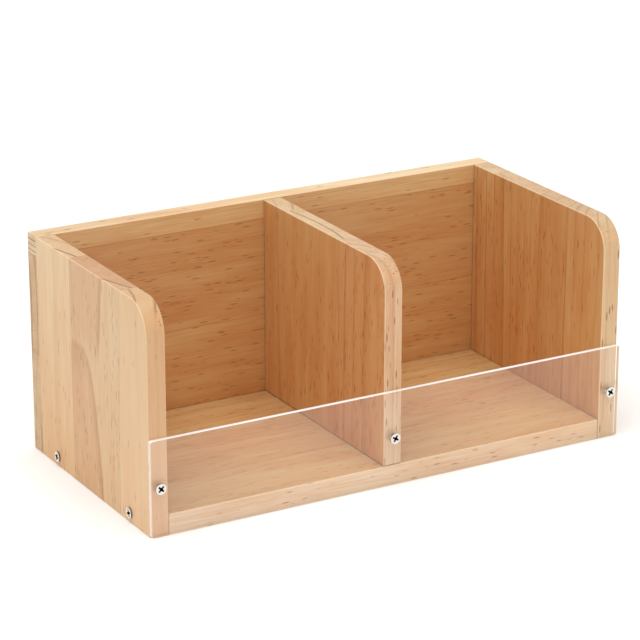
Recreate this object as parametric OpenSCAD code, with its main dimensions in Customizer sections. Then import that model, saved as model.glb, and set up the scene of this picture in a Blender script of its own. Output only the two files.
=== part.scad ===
// Desktop media rack: five edge-glued pine boards, screwed together, with a clear guard in front.
// Millimetres. X runs to the right, Y to the back, Z up. The origin is the middle of the underside.

/* [Carcass] */
// Width over the two side panels
outer_w = 340; // [300:5:460]
// Height of the side panels and the back panel
outer_h = 147; // [135:1:200]
// Depth of the uprights, from their front edge to the back panel
upright_d = 155; // [140:1:200]
// Thickness of each side panel
side_t = 12.7; // [10:0.1:20]
// Thickness of the centre divider
divider_t = 12.7; // [10:0.1:20]
// Thickness of the back panel
back_t = 12.7; // [9:0.1:18]
// Thickness of the bottom board
bottom_t = 12.7; // [9:0.1:18]
// How far the top of the divider lies below the tops of the sides
divider_drop = 0.5; // [0:0.5:10]
// Radius of the rounded front top corner of the uprights
corner_r = 20; // [6:1:45]
// Radius of the eased arrises of every board
arris_r = 0.8; // [0.3:0.1:2]

/* [Guard] */
// Height of the clear guard
guard_h = 62.5; // [45:0.5:100]
// Thickness of the guard
guard_t = 3; // [2:0.5:6]
// Gap under the guard, so that the wood takes the load
guard_lift = 0.5; // [0:0.1:3]
// Radius of the guard's corners
guard_corner_r = 1.5; // [0.5:0.1:10]
// Radius of the polished edges of the guard
guard_polish_r = 0.3; // [0.1:0.05:0.8]

/* [Screws] */
// Diameter of the flat heads
head_d = 7; // [6.5:0.1:8.5]
// Height of the upright rim of a head, which keeps its edge from being sharp
head_rim = 0.3; // [0.2:0.1:0.6]
// How far the heads stand over the sides, the back panel and the guard
head_proud = 1; // [0.6:0.1:1.4]
// How far the heads under the divider lie below the underside
head_sunk = 0.4; // [0.1:0.1:1]
// Outer diameter of the thread
thread_d = 3.5; // [3:0.1:4]
// Length of the pointed end
tip_l = 5; // [3:0.5:7]
// Diameter of the blunt end of the point
tip_d = 0.5; // [0.3:0.1:1]
// Length of the screws that hold the guard, over all
guard_screw_l = 20; // [15:1:30]
// Length of the screws that hold the boards, over all
board_screw_l = 30; // [25:1:38]
// Width across the wings of the cross recess
recess_span = 4.4; // [3.2:0.1:5]
// Thickness of a wing of the cross recess
recess_wing = 1.1; // [0.6:0.1:1.4]
// Diameter of the round middle of the cross recess
recess_hub = 2.2; // [1.8:0.1:2.8]
// Depth of the cross recess
recess_depth = 1.7; // [1.2:0.1:2]
// Width of the floor of the cross recess
recess_floor = 1.4; // [1:0.1:1.8]

/* [Screw places] */
// From the front edge of a side to its front screw
foot_screw_front = 27; // [20:0.5:45]
// From the rear edge of a side to its rear screw
foot_screw_rear = 24; // [20:0.5:45]
// Height of the lower screws of the back panel
back_screw_low = 48; // [45:1:60]
// From the top of the back panel down to its upper screws
back_screw_top = 30; // [15:1:45]

/* [Fits] */
// All round the thread where it runs in its own board
thread_clear = 0.1; // [0.05:0.05:0.2]
// All round the thread where it passes through the piece that it clamps
pass_clear = 0.35; // [0.2:0.05:0.6]
// All round a head in its countersink
head_clear = 0.15; // [0.05:0.05:0.3]
// Spare depth of a pilot hole past the point of its screw
pilot_spare = 1; // [0.5:0.5:2]

/* [Hidden] */

$fn = 48;

// How far a cutter runs past the face that it opens
over = 1;

// The heads stand proud in front and behind, so the box that holds the rack is this deep
box_d = head_proud + guard_t + upright_d + back_t + head_proud;
front_y = -box_d / 2 + head_proud + guard_t;
back_y = front_y + upright_d;
rear_y = back_y + back_t;

inner_w = outer_w - 2 * side_t;
divider_h = outer_h - bottom_t - divider_drop;
side_x = (outer_w - side_t) / 2;
guard_screw_z = guard_lift + guard_h / 2;

upright_xs = [-side_x, 0, side_x];
foot_screw_ys = [front_y + foot_screw_front, back_y - foot_screw_rear];
back_screw_zs = [back_screw_low, outer_h - back_screw_top];

// A head tapers by 45 degrees, from its rim to the thread
head_cone_h = (head_d - thread_d) / 2;

pine = "BurlyWood";
acrylic = [0.93, 0.96, 0.97, 0.35];
plated_steel = "Silver";

// Flat shapes

// A rectangle from the origin, with round corners
module round_rect(size, r) {
    translate([r, 0])
        square([size[0] - 2 * r, size[1]]);
    translate([0, r])
        square([size[0], size[1] - 2 * r]);
    for (x = [r, size[0] - r], y = [r, size[1] - r])
        translate([x, y])
            circle(r);
}

// Boards

// A board from the origin, with its twelve arrises rounded. Each of the three shapes that it is cut from
// rounds the four arrises that run along it.
module eased_board(size, r) {
    intersection() {
        linear_extrude(size[2])
            round_rect([size[0], size[1]], r);
        translate([0, size[1], 0])
            rotate([90, 0, 0])
                linear_extrude(size[1])
                    round_rect([size[0], size[2]], r);
        rotate([90, 0, 90])
            linear_extrude(size[0])
                round_rect([size[1], size[2]], r);
    }
}

// A round blank of wood on the X axis, with an eased rim
module round_blank(t, radius, r) {
    rotate([0, 90, 0])
        rotate_extrude()
            intersection() {
                translate([-radius, 0])
                    round_rect([2 * radius, t], r);
                square([radius, t]);
            }
}

// A standing board with its front edge on y = 0. Its front top corner is a quarter of a round blank, so the
// eased arris runs round the curve in one line.
module upright(t, h) {
    difference() {
        eased_board([t, upright_d, h], arris_r);
        translate([-over, -over, h - corner_r])
            cube([t + 2 * over, corner_r + over, corner_r + over]);
    }
    intersection() {
        translate([0, corner_r, h - corner_r])
            round_blank(t, corner_r, arris_r);
        translate([-over, -over, h - corner_r])
            cube([t + 2 * over, corner_r + over, corner_r + over]);
    }
}

// Screws. The face of the piece that a screw clamps is z = 0, the screw points down, and the top of its
// head is at the height top: over the face where the head stands proud, under it where the head is sunk.

// The hole in the clamped piece, which is t thick, with the countersink that the head rests in
module clamp_hole(t, top) {
    seat_d = head_d + 2 * head_clear;
    throat_d = thread_d + 2 * head_clear;
    translate([0, 0, -t - over])
        cylinder(d = thread_d + 2 * pass_clear, h = t + 2 * over);
    translate([0, 0, top - head_rim])
        cylinder(d = seat_d, h = head_rim + over + max(0, -top));
    translate([0, 0, top - head_rim - head_cone_h])
        cylinder(d1 = throat_d, d2 = seat_d, h = head_cone_h);
}

// The hole in the piece that the screw bites into, behind a clamped piece of thickness t. The point of the
// screw lies at the depth reach.
module pilot_hole(t, reach) {
    hole_d = thread_d + 2 * thread_clear;
    translate([0, 0, -reach + tip_l / 2])
        cylinder(d = hole_d, h = reach - tip_l / 2 - t + over);
    translate([0, 0, -reach - pilot_spare])
        cylinder(d1 = tip_d, d2 = hole_d, h = tip_l / 2 + pilot_spare);
}

// The thread as a plain rod of its outer diameter, with its point
module screw_rod(l) {
    translate([0, 0, -l + tip_l])
        cylinder(d = thread_d, h = l - tip_l);
    translate([0, 0, -l])
        cylinder(d1 = tip_d, d2 = thread_d, h = tip_l);
}

// The cross recess, cut down from z = 0: two wings whose ends slope in to a small floor, and a round middle
// that relieves the corners between them
module cross_recess() {
    translate([0, 0, -recess_depth]) {
        cylinder(d1 = recess_floor, d2 = recess_hub, h = recess_depth);
        intersection() {
            cylinder(d1 = recess_floor, d2 = recess_span, h = recess_depth);
            for (turn = [0, 90])
                rotate(turn)
                    translate([-recess_span / 2, -recess_wing / 2, 0])
                        cube([recess_span, recess_wing, recess_depth]);
        }
    }
}

// A flat-head screw of length l over all
module flat_screw(l, top) {
    color(plated_steel)
        translate([0, 0, top])
            difference() {
                union() {
                    translate([0, 0, -head_rim])
                        cylinder(d = head_d, h = head_rim);
                    translate([0, 0, -head_rim - head_cone_h])
                        cylinder(d1 = thread_d, d2 = head_d, h = head_cone_h);
                    screw_rod(l);
                }
                cross_recess();
            }
}

// Where the screws go. Each places its children once for every screw, with +Z out of the piece it clamps.

module at_guard_screws() {
    for (x = upright_xs)
        translate([x, front_y - guard_t, guard_screw_z])
            rotate([90, 0, 0])
                children();
}

// The two screws through the right side. The left side's are their mirror image.
module at_side_screws() {
    for (y = foot_screw_ys)
        translate([outer_w / 2, y, bottom_t / 2])
            rotate([0, 90, 0])
                children();
}

module at_back_screws() {
    for (x = upright_xs, z = back_screw_zs)
        translate([x, rear_y, z])
            rotate([-90, 0, 0])
                children();
}

module at_foot_screws() {
    for (y = foot_screw_ys)
        translate([0, y, 0])
            rotate([180, 0, 0])
                children();
}

// The pieces

module right_side() {
    color(pine)
        difference() {
            translate([outer_w / 2 - side_t, front_y, 0])
                upright(side_t, outer_h);
            at_guard_screws()
                pilot_hole(guard_t, guard_screw_l - head_proud);
            at_back_screws()
                pilot_hole(back_t, board_screw_l - head_proud);
            at_side_screws()
                clamp_hole(side_t, head_proud);
        }
}

module left_side() {
    mirror([1, 0, 0])
        right_side();
}

module centre_divider() {
    color(pine)
        difference() {
            translate([-divider_t / 2, front_y, bottom_t])
                upright(divider_t, divider_h);
            at_guard_screws()
                pilot_hole(guard_t, guard_screw_l - head_proud);
            at_back_screws()
                pilot_hole(back_t, board_screw_l - head_proud);
            at_foot_screws()
                pilot_hole(bottom_t, board_screw_l + head_sunk);
        }
}

module back_panel() {
    color(pine)
        difference() {
            translate([-outer_w / 2, back_y, 0])
                eased_board([outer_w, back_t, outer_h], arris_r);
            at_back_screws()
                clamp_hole(back_t, head_proud);
        }
}

module bottom_board() {
    color(pine)
        difference() {
            translate([-inner_w / 2, front_y, 0])
                eased_board([inner_w, upright_d, bottom_t], arris_r);
            for (side = [0, 1])
                mirror([side, 0, 0])
                    at_side_screws()
                        pilot_hole(side_t, board_screw_l - head_proud);
            at_foot_screws()
                clamp_hole(bottom_t, -head_sunk);
        }
}

module front_guard() {
    color(acrylic)
        difference() {
            translate([-outer_w / 2, front_y - guard_t, guard_lift])
                intersection() {
                    translate([0, guard_t, 0])
                        rotate([90, 0, 0])
                            linear_extrude(guard_t)
                                round_rect([outer_w, guard_h], guard_corner_r);
                    eased_board([outer_w, guard_t, guard_h], guard_polish_r);
                }
            at_guard_screws()
                clamp_hole(guard_t, head_proud);
        }
}

module guard_screws() {
    at_guard_screws()
        flat_screw(guard_screw_l, head_proud);
}

module right_side_screws() {
    at_side_screws()
        flat_screw(board_screw_l, head_proud);
}

module left_side_screws() {
    mirror([1, 0, 0])
        right_side_screws();
}

module back_screws() {
    at_back_screws()
        flat_screw(board_screw_l, head_proud);
}

module divider_foot_screws() {
    at_foot_screws()
        flat_screw(board_screw_l, -head_sunk);
}

left_side();
right_side();
centre_divider();
back_panel();
bottom_board();
front_guard();
guard_screws();
left_side_screws();
right_side_screws();
back_screws();
divider_foot_screws();
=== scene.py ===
# %% [markdown]
# # A desktop rack in pale pine
#
# The rack is five boards of edge-glued pine, a clear acrylic guard and fifteen screws. A joiner would see
# it as plain work, so everything that makes it look real is in the surface: where one stave ends and the
# next begins, how the growth rings run out on the end grain, the sanded arrises, and the bright edges of
# the guard.
#
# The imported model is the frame. It holds each board at its real size with its real holes, and this file
# only dresses it. The boards keep their shapes and get a material that is worked out in three dimensions,
# as wood is. The screws are made anew with Geometry Nodes, because the real ones have threads and each of
# them stopped at another turn.

from collections import namedtuple
from math import cos, pi, radians, sin

import bmesh
import bpy
from mathutils import Matrix, Vector


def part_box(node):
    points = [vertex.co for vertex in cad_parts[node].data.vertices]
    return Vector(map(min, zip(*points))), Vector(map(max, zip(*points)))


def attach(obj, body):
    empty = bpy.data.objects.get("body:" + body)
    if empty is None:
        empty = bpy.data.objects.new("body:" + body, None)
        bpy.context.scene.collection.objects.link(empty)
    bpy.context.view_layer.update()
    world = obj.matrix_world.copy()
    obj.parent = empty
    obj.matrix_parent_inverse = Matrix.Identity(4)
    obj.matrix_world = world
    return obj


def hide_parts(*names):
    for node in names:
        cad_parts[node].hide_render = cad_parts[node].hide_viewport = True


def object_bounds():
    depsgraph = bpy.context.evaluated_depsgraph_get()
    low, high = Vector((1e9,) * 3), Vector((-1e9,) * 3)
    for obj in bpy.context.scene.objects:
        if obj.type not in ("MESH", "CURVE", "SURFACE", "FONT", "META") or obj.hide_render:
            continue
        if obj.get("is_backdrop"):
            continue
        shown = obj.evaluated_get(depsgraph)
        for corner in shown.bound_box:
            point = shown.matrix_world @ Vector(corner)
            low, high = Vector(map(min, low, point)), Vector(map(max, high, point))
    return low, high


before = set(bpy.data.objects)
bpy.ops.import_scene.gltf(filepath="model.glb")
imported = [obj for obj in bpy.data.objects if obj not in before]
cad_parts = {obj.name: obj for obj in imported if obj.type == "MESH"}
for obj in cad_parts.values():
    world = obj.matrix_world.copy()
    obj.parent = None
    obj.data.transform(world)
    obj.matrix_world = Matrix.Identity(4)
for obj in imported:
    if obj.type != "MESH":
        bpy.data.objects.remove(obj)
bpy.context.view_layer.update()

# %% [markdown]
# ## Two small helpers
#
# Colours are given as hex codes, which are sRGB, but a shader adds and multiplies light, which needs linear
# numbers. One function turns the first into the second.
#
# Node trees are long when each link takes a line of its own. The second helper adds one node, sets it and
# fills its sockets. A socket takes a value, another node's socket, or a node, whose first output is meant.

# %% Colours and nodes
MM = 0.001
# The output of a Mix node that carries a colour
COLOUR_OUT = 2


def linear(code):
    """The linear RGBA of an sRGB hex colour such as #c8a070."""
    parts = [int(code[i:i + 2], 16) / 255 for i in (1, 3, 5)]
    return (*(p / 12.92 if p <= 0.04045 else ((p + 0.055) / 1.055) ** 2.4 for p in parts), 1.0)


def add(tree, kind, sockets=None, **settings):
    """Adds a node, sets it and fills its sockets, named or counted. A list gives a socket several links."""
    node = tree.nodes.new(kind)
    for name, value in settings.items():
        setattr(node, name, value)
    for key, given in (sockets or {}).items():
        if isinstance(key, str):
            socket = next(s for s in node.inputs if s.name == key and s.enabled)
        else:
            socket = node.inputs[key]
        for value in given if isinstance(given, list) else [given]:
            if isinstance(value, bpy.types.Node):
                value = next(s for s in value.outputs if s.enabled)
            if isinstance(value, bpy.types.NodeSocket):
                tree.links.new(value, socket)
            else:
                socket.default_value = value
    return node


print("#ffffff is", linear("#ffffff"))

# %% [markdown]
# ## Camera
#
# A long lens from the left, a little above the rack, so that the boards' edges stay nearly parallel. The
# camera is placed by what a photographer would set: the point it looks at, its bearing round the rack, its
# height above the horizon and its distance.

# %% The camera
AIM = Vector((-5.25, 0, 84.9)) * MM
BEARING = radians(-29.72)
RISE = radians(19.49)
DISTANCE = 1.8109
# Millimetres, as on a real lens
FOCAL_LENGTH = 158.5
SENSOR_WIDTH = 36
# Metres
FARTHEST_SEEN = 50

towards_camera = Vector((sin(BEARING) * cos(RISE), -cos(BEARING) * cos(RISE), sin(RISE)))
camera = bpy.data.objects.new("camera", bpy.data.cameras.new("camera"))
camera.data.lens = FOCAL_LENGTH
camera.data.sensor_width = SENSOR_WIDTH
camera.data.clip_end = FARTHEST_SEEN
camera.location = AIM + towards_camera * DISTANCE
camera.rotation_euler = towards_camera.to_track_quat("Z", "Y").to_euler()
bpy.context.scene.collection.objects.link(camera)
bpy.context.scene.camera = camera
print("the camera stands at", [round(c, 3) for c in camera.location])

# %% [markdown]
# ## Floor and light
#
# Pale things are photographed on a white sweep, in light that comes from all round and most of all from a
# large lit ceiling. The world gives the first. A sun with a very wide disc gives the second, because a
# sun lights the floor as evenly far away as near. The floor is white paper, and it throws light back up
# onto the boards, which is why their outer faces have no dark side.

# %% Floor, sky and ceiling
FLOOR_SIZE = 12
FLOOR_GAP = 0.1 * MM
SKY = 0.65
CEILING = 2.05
CEILING_WIDTH = radians(60)
CEILING_LEAN = (radians(4), radians(-9), 0)
BACKDROP = 1.0

sweep_paper = bpy.data.materials.new("matte_white_paper")
sweep_paper.use_nodes = True
tree = sweep_paper.node_tree
pulp = add(tree, "ShaderNodeTexNoise", {"Scale": 3, "Detail": 4})
paper_tone = add(tree, "ShaderNodeMix", {"Factor": pulp, "A": linear("#f6f5f4"), "B": linear("#faf9f8")},
                 data_type="RGBA")
paper_shader = tree.nodes["Principled BSDF"]
paper_shader.inputs["Roughness"].default_value = 0.9
paper_shader.inputs["Specular IOR Level"].default_value = 0.1
tree.links.new(paper_tone.outputs[COLOUR_OUT], paper_shader.inputs["Base Color"])

half = FLOOR_SIZE / 2
floor_mesh = bpy.data.meshes.new("floor")
floor_mesh.from_pydata([(-half, -half, -FLOOR_GAP), (half, -half, -FLOOR_GAP),
                        (half, half, -FLOOR_GAP), (-half, half, -FLOOR_GAP)], [], [(0, 1, 2, 3)])
floor_mesh.materials.append(sweep_paper)
floor = bpy.data.objects.new("floor", floor_mesh)
bpy.context.scene.collection.objects.link(floor)
floor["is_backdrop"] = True

# Seen straight on, the studio's walls are as white as the paper. As light they are dimmer.
world = bpy.data.worlds.new("studio")
world.use_nodes = True
seen = add(world.node_tree, "ShaderNodeLightPath").outputs["Is Camera Ray"]
brightness = add(world.node_tree, "ShaderNodeMapRange", {0: seen, 3: SKY, 4: BACKDROP})
studio_light = world.node_tree.nodes["Background"]
studio_light.inputs["Color"].default_value = linear("#ffffff")
world.node_tree.links.new(brightness.outputs[0], studio_light.inputs["Strength"])
bpy.context.scene.world = world

ceiling = bpy.data.objects.new("ceiling", bpy.data.lights.new("ceiling", "SUN"))
ceiling.data.energy = CEILING
ceiling.data.angle = CEILING_WIDTH
ceiling.rotation_euler = CEILING_LEAN
bpy.context.scene.collection.objects.link(ceiling)
bpy.context.scene.view_settings.view_transform = "Standard"
print("a white sheet that lies flat gets", round(SKY + CEILING / pi, 2), "times its own white")

# %% [markdown]
# ## Pine, edge-glued and lacquered
#
# Radiata pine grows fast, so its rings are wide: pale early wood, then a brown edge of late wood that
# deepens slowly and ends sharply. A panel is glued up from staves, and each stave was another part of
# another tree. So the material works as the wood does. Every stave has a pith, the middle of its tree, and
# a point's distance from that pith says which ring it is in. The same sum gives thin dark arcs on the end
# grain, broad soft flames on the faces and lines along the edges, and they meet at the corners, which no
# flat pattern does.
#
# All lengths in this table are millimetres. A stave's pith is given across the panel and through its
# thickness, from the panel's first corner, and one of its rings ends at that distance from the pith. Lean
# says how the rings drift along the grain, and wander is the unevenness of the tree. Bold is the depth of
# the late wood on the faces, and ends its depth on the end grain. Flecks says how many resin canals show,
# and mottle how streaky the stave is. Its far edge may taper, and its tone may be another at the foot.
#
# The tints say how each face of a panel departs from its staves' tone. On the inner faces and on the bottom
# board's top the tint is painted light and shade: warmer and darker, for the light that goes to and fro
# between the faces and the shade inside the bays. End grain drinks more lacquer than a face does. The joints
# are the sides on which a panel ends against another one, each with how dark its painted shadow line is.

# %% The staves of each panel
Panel = namedtuple("Panel", "across through along joints tints staves")
Stave = namedtuple("Stave", "width tone pith ring edge lean wander bold ends flecks mottle taper foot",
                   defaults=(7.5, 0.0, 0.01, 1.0, 0.6, 0.6, 0.4, 1.0, 0.0, None))

PANELS = {
    "left_side": Panel("-Y", "+X", "+Z", {"+Y": 0.75}, {"+X": "#f8dfbe", "-Y": "#fbefeb", "+Z": "#f3edea"}, [
        Stave(49.5, "#e3c99f", (80, -170), ring=12.8, edge=180.5, lean=0.012, wander=0.15, bold=0.12,
              ends=0.9, flecks=0.07, mottle=0.6, foot="#dfb887"),
        Stave(65.0, "#dcbc92", (60, 300), wander=0.15, bold=0.0, ends=0.0, flecks=0.3, mottle=0.6,
              taper=0.037, foot="#dcba8c"),
        Stave(40.5, "#ddbc8d", (111, -71), ring=12.0, edge=79.3, wander=0.15, lean=0.008, bold=0.12, ends=0.9,
              flecks=0.02, mottle=0.4, foot="#e4c095"),
    ]),
    "right_side": Panel("-Y", "+X", "+Z", {"+Y": 0.75}, {"-X": "#f8dfbe", "+Z": "#f0f1f6"}, [
        Stave(26.5, "#e7cea6", (-40, 60), ring=7.0, bold=0.9, ends=0.3, flecks=0.15),
        Stave(54.5, "#e3c59a", (10, -45), ring=6.0, bold=0.6, ends=0.2, flecks=0.25),
        Stave(32.0, "#dfc095", (170, 40), ring=6.5, bold=0.6, ends=0.3, flecks=0.2),
        Stave(42.0, "#e2c69e", (165, 45), ring=7.0, bold=0.35, ends=0.5, flecks=0.12, foot="#e6cba2"),
    ]),
    "centre_divider": Panel("-Y", "+X", "+Z", {"+Y": 0.75, "-Z": 0.75}, {
        "-X": "#f8dfbe", "+X": "#f8dfbe", "+Z": "#f5fbff"}, [
        Stave(30.0, "#e4c9a0", (-10, -60), ring=10.5, edge=68.2, wander=0.15, bold=0.8, ends=0.7, flecks=0.2),
        Stave(68.0, "#e4c79e", (66, -200), ring=9.0, edge=208.0, wander=0.15, bold=0.7, ends=1.0, flecks=0.2),
        Stave(57.0, "#e5c5a1", (160, -60), ring=7.5, bold=0.6, ends=0.5, flecks=0.4),
    ]),
    "back_panel": Panel("+Z", "+Y", "+X", {}, {"-Y": "#fbe5c5", "-X": "#ebe9e3", "+X": "#ebe9e3"}, [
        Stave(67.0, "#e3c89e", (12, -250), ring=9.0, edge=259.3, bold=0.35, ends=1.4, flecks=0.2),
        Stave(67.0, "#dfc095", (101, 301), ring=9.3, edge=300.0, bold=0.4, ends=1.4, flecks=0.25),
        Stave(13.0, "#efdfbc", (260, 5), ring=3.7, edge=2.2, lean=0.002, wander=0.4, bold=0.3, ends=4.0,
              flecks=0.1),
    ]),
    "bottom_board": Panel("-Y", "+Z", "+X", {"-X": 0.2, "+X": 0.75, "+Y": 0.75}, {"+Z": "#ded3b9"}, [
        Stave(52.0, "#edd0a7", (-10, 70), ring=9.0, wander=2.0, bold=0.4, flecks=0.25, foot="#eed4b0"),
        Stave(58.0, "#ebcba8", (90, -60), ring=8.0, lean=0.03, wander=2.0, bold=0.4, flecks=0.25),
        Stave(45.0, "#efd3ac", (200, -70), ring=9.0, wander=2.0, bold=0.15, flecks=0.2, foot="#efd9bd"),
    ]),
}
print("the rack is glued up from", sum(len(p.staves) for p in PANELS.values()), "staves")

# %% [markdown]
# ## The flame of the left side
#
# The middle stave of the left side was sawn just under one ring. That ring's late wood lies nearly flat in
# the face, so it shows as one broad arch: sharp along its outer edge, and fading inwards to a paler core.
# Rings round a straight pith can't give that, so the arch has a formula of its own. Its edge drops with the
# cube of the distance from its axis. The next ring outwards shows as a single line, nearly along the grain,
# which dies out beside the arch. Both lean with the rings as they go through the board.

# %% The flame's sizes
# Places and widths are in millimetres. The edge drops by widening times the cube of its distance from the
# axis. For each millimetre of that drop it is softer by softening, and its late wood goes further in by
# reaching. At the crest the late wood has only the share crest, and it is full from full_drop downwards.
# Slant and line_lean are millimetres across for each millimetre through and along. The line dies between
# two heights, and there are more resin canals past crowd.
Flame = namedtuple("Flame", "stave axis top widening slant edge softening crest full_drop fade reaching "
                            "line_foot line_lean line_edge line_fade dies crowd")
FLAMES = {
    "left_side": Flame(stave=1, axis=60.0, top=99.0, widening=0.00275, slant=3.0, edge=7.0, softening=0.08,
                       crest=0.5, full_drop=60.0, fade=27.0, reaching=0.6, line_foot=79.0, line_lean=0.109,
                       line_edge=0.8, line_fade=6.0, dies=(85.0, 110.0), crowd=104.0),
}


def flame(tree, form, across, through, along):
    """The share of late wood in the flame, and the share of the warmer wood that it encloses."""
    beside = add(tree, "ShaderNodeMath", {0: through, 1: -form.slant, 2: across}, operation="MULTIPLY_ADD")
    from_axis = add(tree, "ShaderNodeMath", {0: beside, 1: form.axis}, operation="SUBTRACT")
    distance = add(tree, "ShaderNodeMath", {0: from_axis}, operation="ABSOLUTE")
    cubed = add(tree, "ShaderNodeMath", {0: distance, 1: 3.0}, operation="POWER")
    drop = add(tree, "ShaderNodeMath", {0: cubed, 1: form.widening}, operation="MULTIPLY")
    fallen = add(tree, "ShaderNodeMath", {0: along, 1: drop}, operation="ADD")
    within = add(tree, "ShaderNodeMath", {0: form.top, 1: fallen}, operation="SUBTRACT")
    softness = add(tree, "ShaderNodeMath", {0: drop, 1: form.softening, 2: form.edge},
                   operation="MULTIPLY_ADD")
    reach = add(tree, "ShaderNodeMath", {0: drop, 1: form.reaching, 2: form.fade}, operation="MULTIPLY_ADD")
    arch = add(tree, "ShaderNodeMapRange", {0: within, 1: 0.0, 2: softness}, interpolation_type="SMOOTHSTEP")
    deeper = add(tree, "ShaderNodeMapRange", {0: drop, 1: 0.0, 2: form.full_drop, 3: form.crest, 4: 1.0})
    rising = add(tree, "ShaderNodeMath", {0: arch, 1: deeper}, operation="MULTIPLY")
    arch_late = add(tree, "ShaderNodeMapRange", {0: within, 1: softness, 2: reach, 3: rising, 4: 0.0})

    line = add(tree, "ShaderNodeMath", {0: along, 1: form.line_lean, 2: form.line_foot},
               operation="MULTIPLY_ADD")
    short_of = add(tree, "ShaderNodeMath", {0: line, 1: beside}, operation="SUBTRACT")
    alive = add(tree, "ShaderNodeMapRange", {0: along, 1: form.dies[0], 2: form.dies[1]},
                interpolation_type="SMOOTHSTEP")
    side = add(tree, "ShaderNodeMapRange", {0: short_of, 1: 0.0, 2: form.line_edge, 4: alive})
    line_late = add(tree, "ShaderNodeMapRange", {0: short_of, 1: form.line_edge, 2: form.line_fade, 3: side,
                                                 4: 0.0})
    late = add(tree, "ShaderNodeMath", {0: arch_late, 1: line_late}, operation="MAXIMUM")
    warm = add(tree, "ShaderNodeMath", {0: arch, 1: side}, operation="MAXIMUM")
    return late, warm


print("the flame's limbs are", round(2 * (FLAMES["left_side"].top / FLAMES["left_side"].widening) ** (1 / 3)),
      "mm apart at the foot")

# %% [markdown]
# ## The shader for a panel
#
# The shader starts by measuring where a point lies in its panel: how far across the staves, how far through
# the thickness and how far along the grain, in millimetres. Steps at the glue lines then choose between the
# staves' values. Each layer of the wood that follows has a function of its own, which takes the colour that
# it lies on and gives back the next one: rings, fibres, resin canals, glue lines, faces and joints.

# %% Where a point lies, and in which stave
AXES = {"X": Vector((1, 0, 0)), "Y": Vector((0, 1, 0)), "Z": Vector((0, 0, 1))}
SEED_STEP = 3.7
Wood = namedtuple("Wood", "tree panel low high position normal across through along place past steps seed")


def axis(name):
    """The direction that a name such as +X stands for."""
    return AXES[name[1]] * (1 if name[0] == "+" else -1)


def by_stave(tree, steps, values, data_type="FLOAT"):
    """The value of the stave that a point lies in."""
    chosen = values[0]
    for step, value in zip(steps, values[1:]):
        chosen = add(tree, "ShaderNodeMix", {"Factor": step, "A": chosen, "B": value}, data_type=data_type)
    return chosen


def of_stave(wood, name):
    """A number of the table, for the stave that a point lies in."""
    return by_stave(wood.tree, wood.steps, [getattr(stave, name) for stave in wood.panel.staves])


def measured_wood(tree, board, panel, seed):
    """Where a point lies in its panel, in millimetres, and how far it is past each glue line."""
    low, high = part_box(board)
    object_space = add(tree, "ShaderNodeTexCoord")
    measured = []
    for name in (panel.across, panel.through, panel.along):
        start = low if name[0] == "+" else high
        shifted = add(tree, "ShaderNodeVectorMath", {0: object_space.outputs["Object"], 1: start},
                      operation="SUBTRACT")
        measured.append(add(tree, "ShaderNodeVectorMath", {0: shifted, 1: axis(name) / MM},
                            operation="DOT_PRODUCT").outputs["Value"])
    across, through, along = measured
    place = add(tree, "ShaderNodeCombineXYZ", {0: across, 1: through, 2: along})

    # The distance past each glue line, and a step there
    past, steps = [], []
    for k, stave in enumerate(panel.staves[:-1]):
        edge = sum(s.width for s in panel.staves[:k + 1])
        shift = add(tree, "ShaderNodeMath", {0: along, 1: stave.taper, 2: edge}, operation="MULTIPLY_ADD")
        past.append(add(tree, "ShaderNodeMath", {0: across, 1: shift}, operation="SUBTRACT"))
        steps.append(add(tree, "ShaderNodeMath", {0: past[-1], 1: 0.0}, operation="GREATER_THAN"))

    number = by_stave(tree, steps, [float(k + 1) for k in range(len(panel.staves))])
    stave_seed = add(tree, "ShaderNodeMath", {0: number, 1: SEED_STEP, 2: seed}, operation="MULTIPLY_ADD")
    return Wood(tree, panel, low, high, object_space.outputs["Object"], object_space.outputs["Normal"],
                across, through, along, place, past, steps, stave_seed)


def stave_tone(wood):
    """The tone of the stave, which may change from its foot to its top."""
    tree, steps, staves = wood.tree, wood.steps, wood.panel.staves
    whole_tone = by_stave(tree, steps, [linear(s.tone) for s in staves], "RGBA")
    foot_tone = by_stave(tree, steps, [linear(s.foot or s.tone) for s in staves], "RGBA")
    length = abs((wood.high - wood.low).dot(axis(wood.panel.along))) / MM
    risen = add(tree, "ShaderNodeMapRange", {0: wood.along, 2: length})
    return add(tree, "ShaderNodeMix", {"Factor": risen, "A": foot_tone, "B": whole_tone}, data_type="RGBA")


print("-Y is the direction", tuple(axis("-Y")))

# %% [markdown]
# Growth rings are circles round the pith. A board is never sawn quite along its tree, so they drift along the
# grain, and no trunk is quite round. Two noises stand for that: a slow one bends the rings, and the other
# makes the years unequal. Late wood is the dark last fifth of a ring. It deepens slowly and ends sharply, and
# some years are fainter than others.

# %% Growth rings
# Noise cells for each millimetre across, through and along the trunk
TRUNK_PER_MM = (0.02, 0.02, 0.004)
# Millimetres, for a wander of 1
OFF_ROUND = 3.0
# Noise cells for each ring
YEARS_SCALE = 0.9
# Shares of a ring, the first for a wander of 1
UNEQUAL = 0.45
LATE_STARTS = 0.78
LATE_FULL = 0.97
LATE_ENDS = 0.975
# The late wood of the faintest year, as a share of the strongest one's
FAINTEST = 0.4


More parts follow.
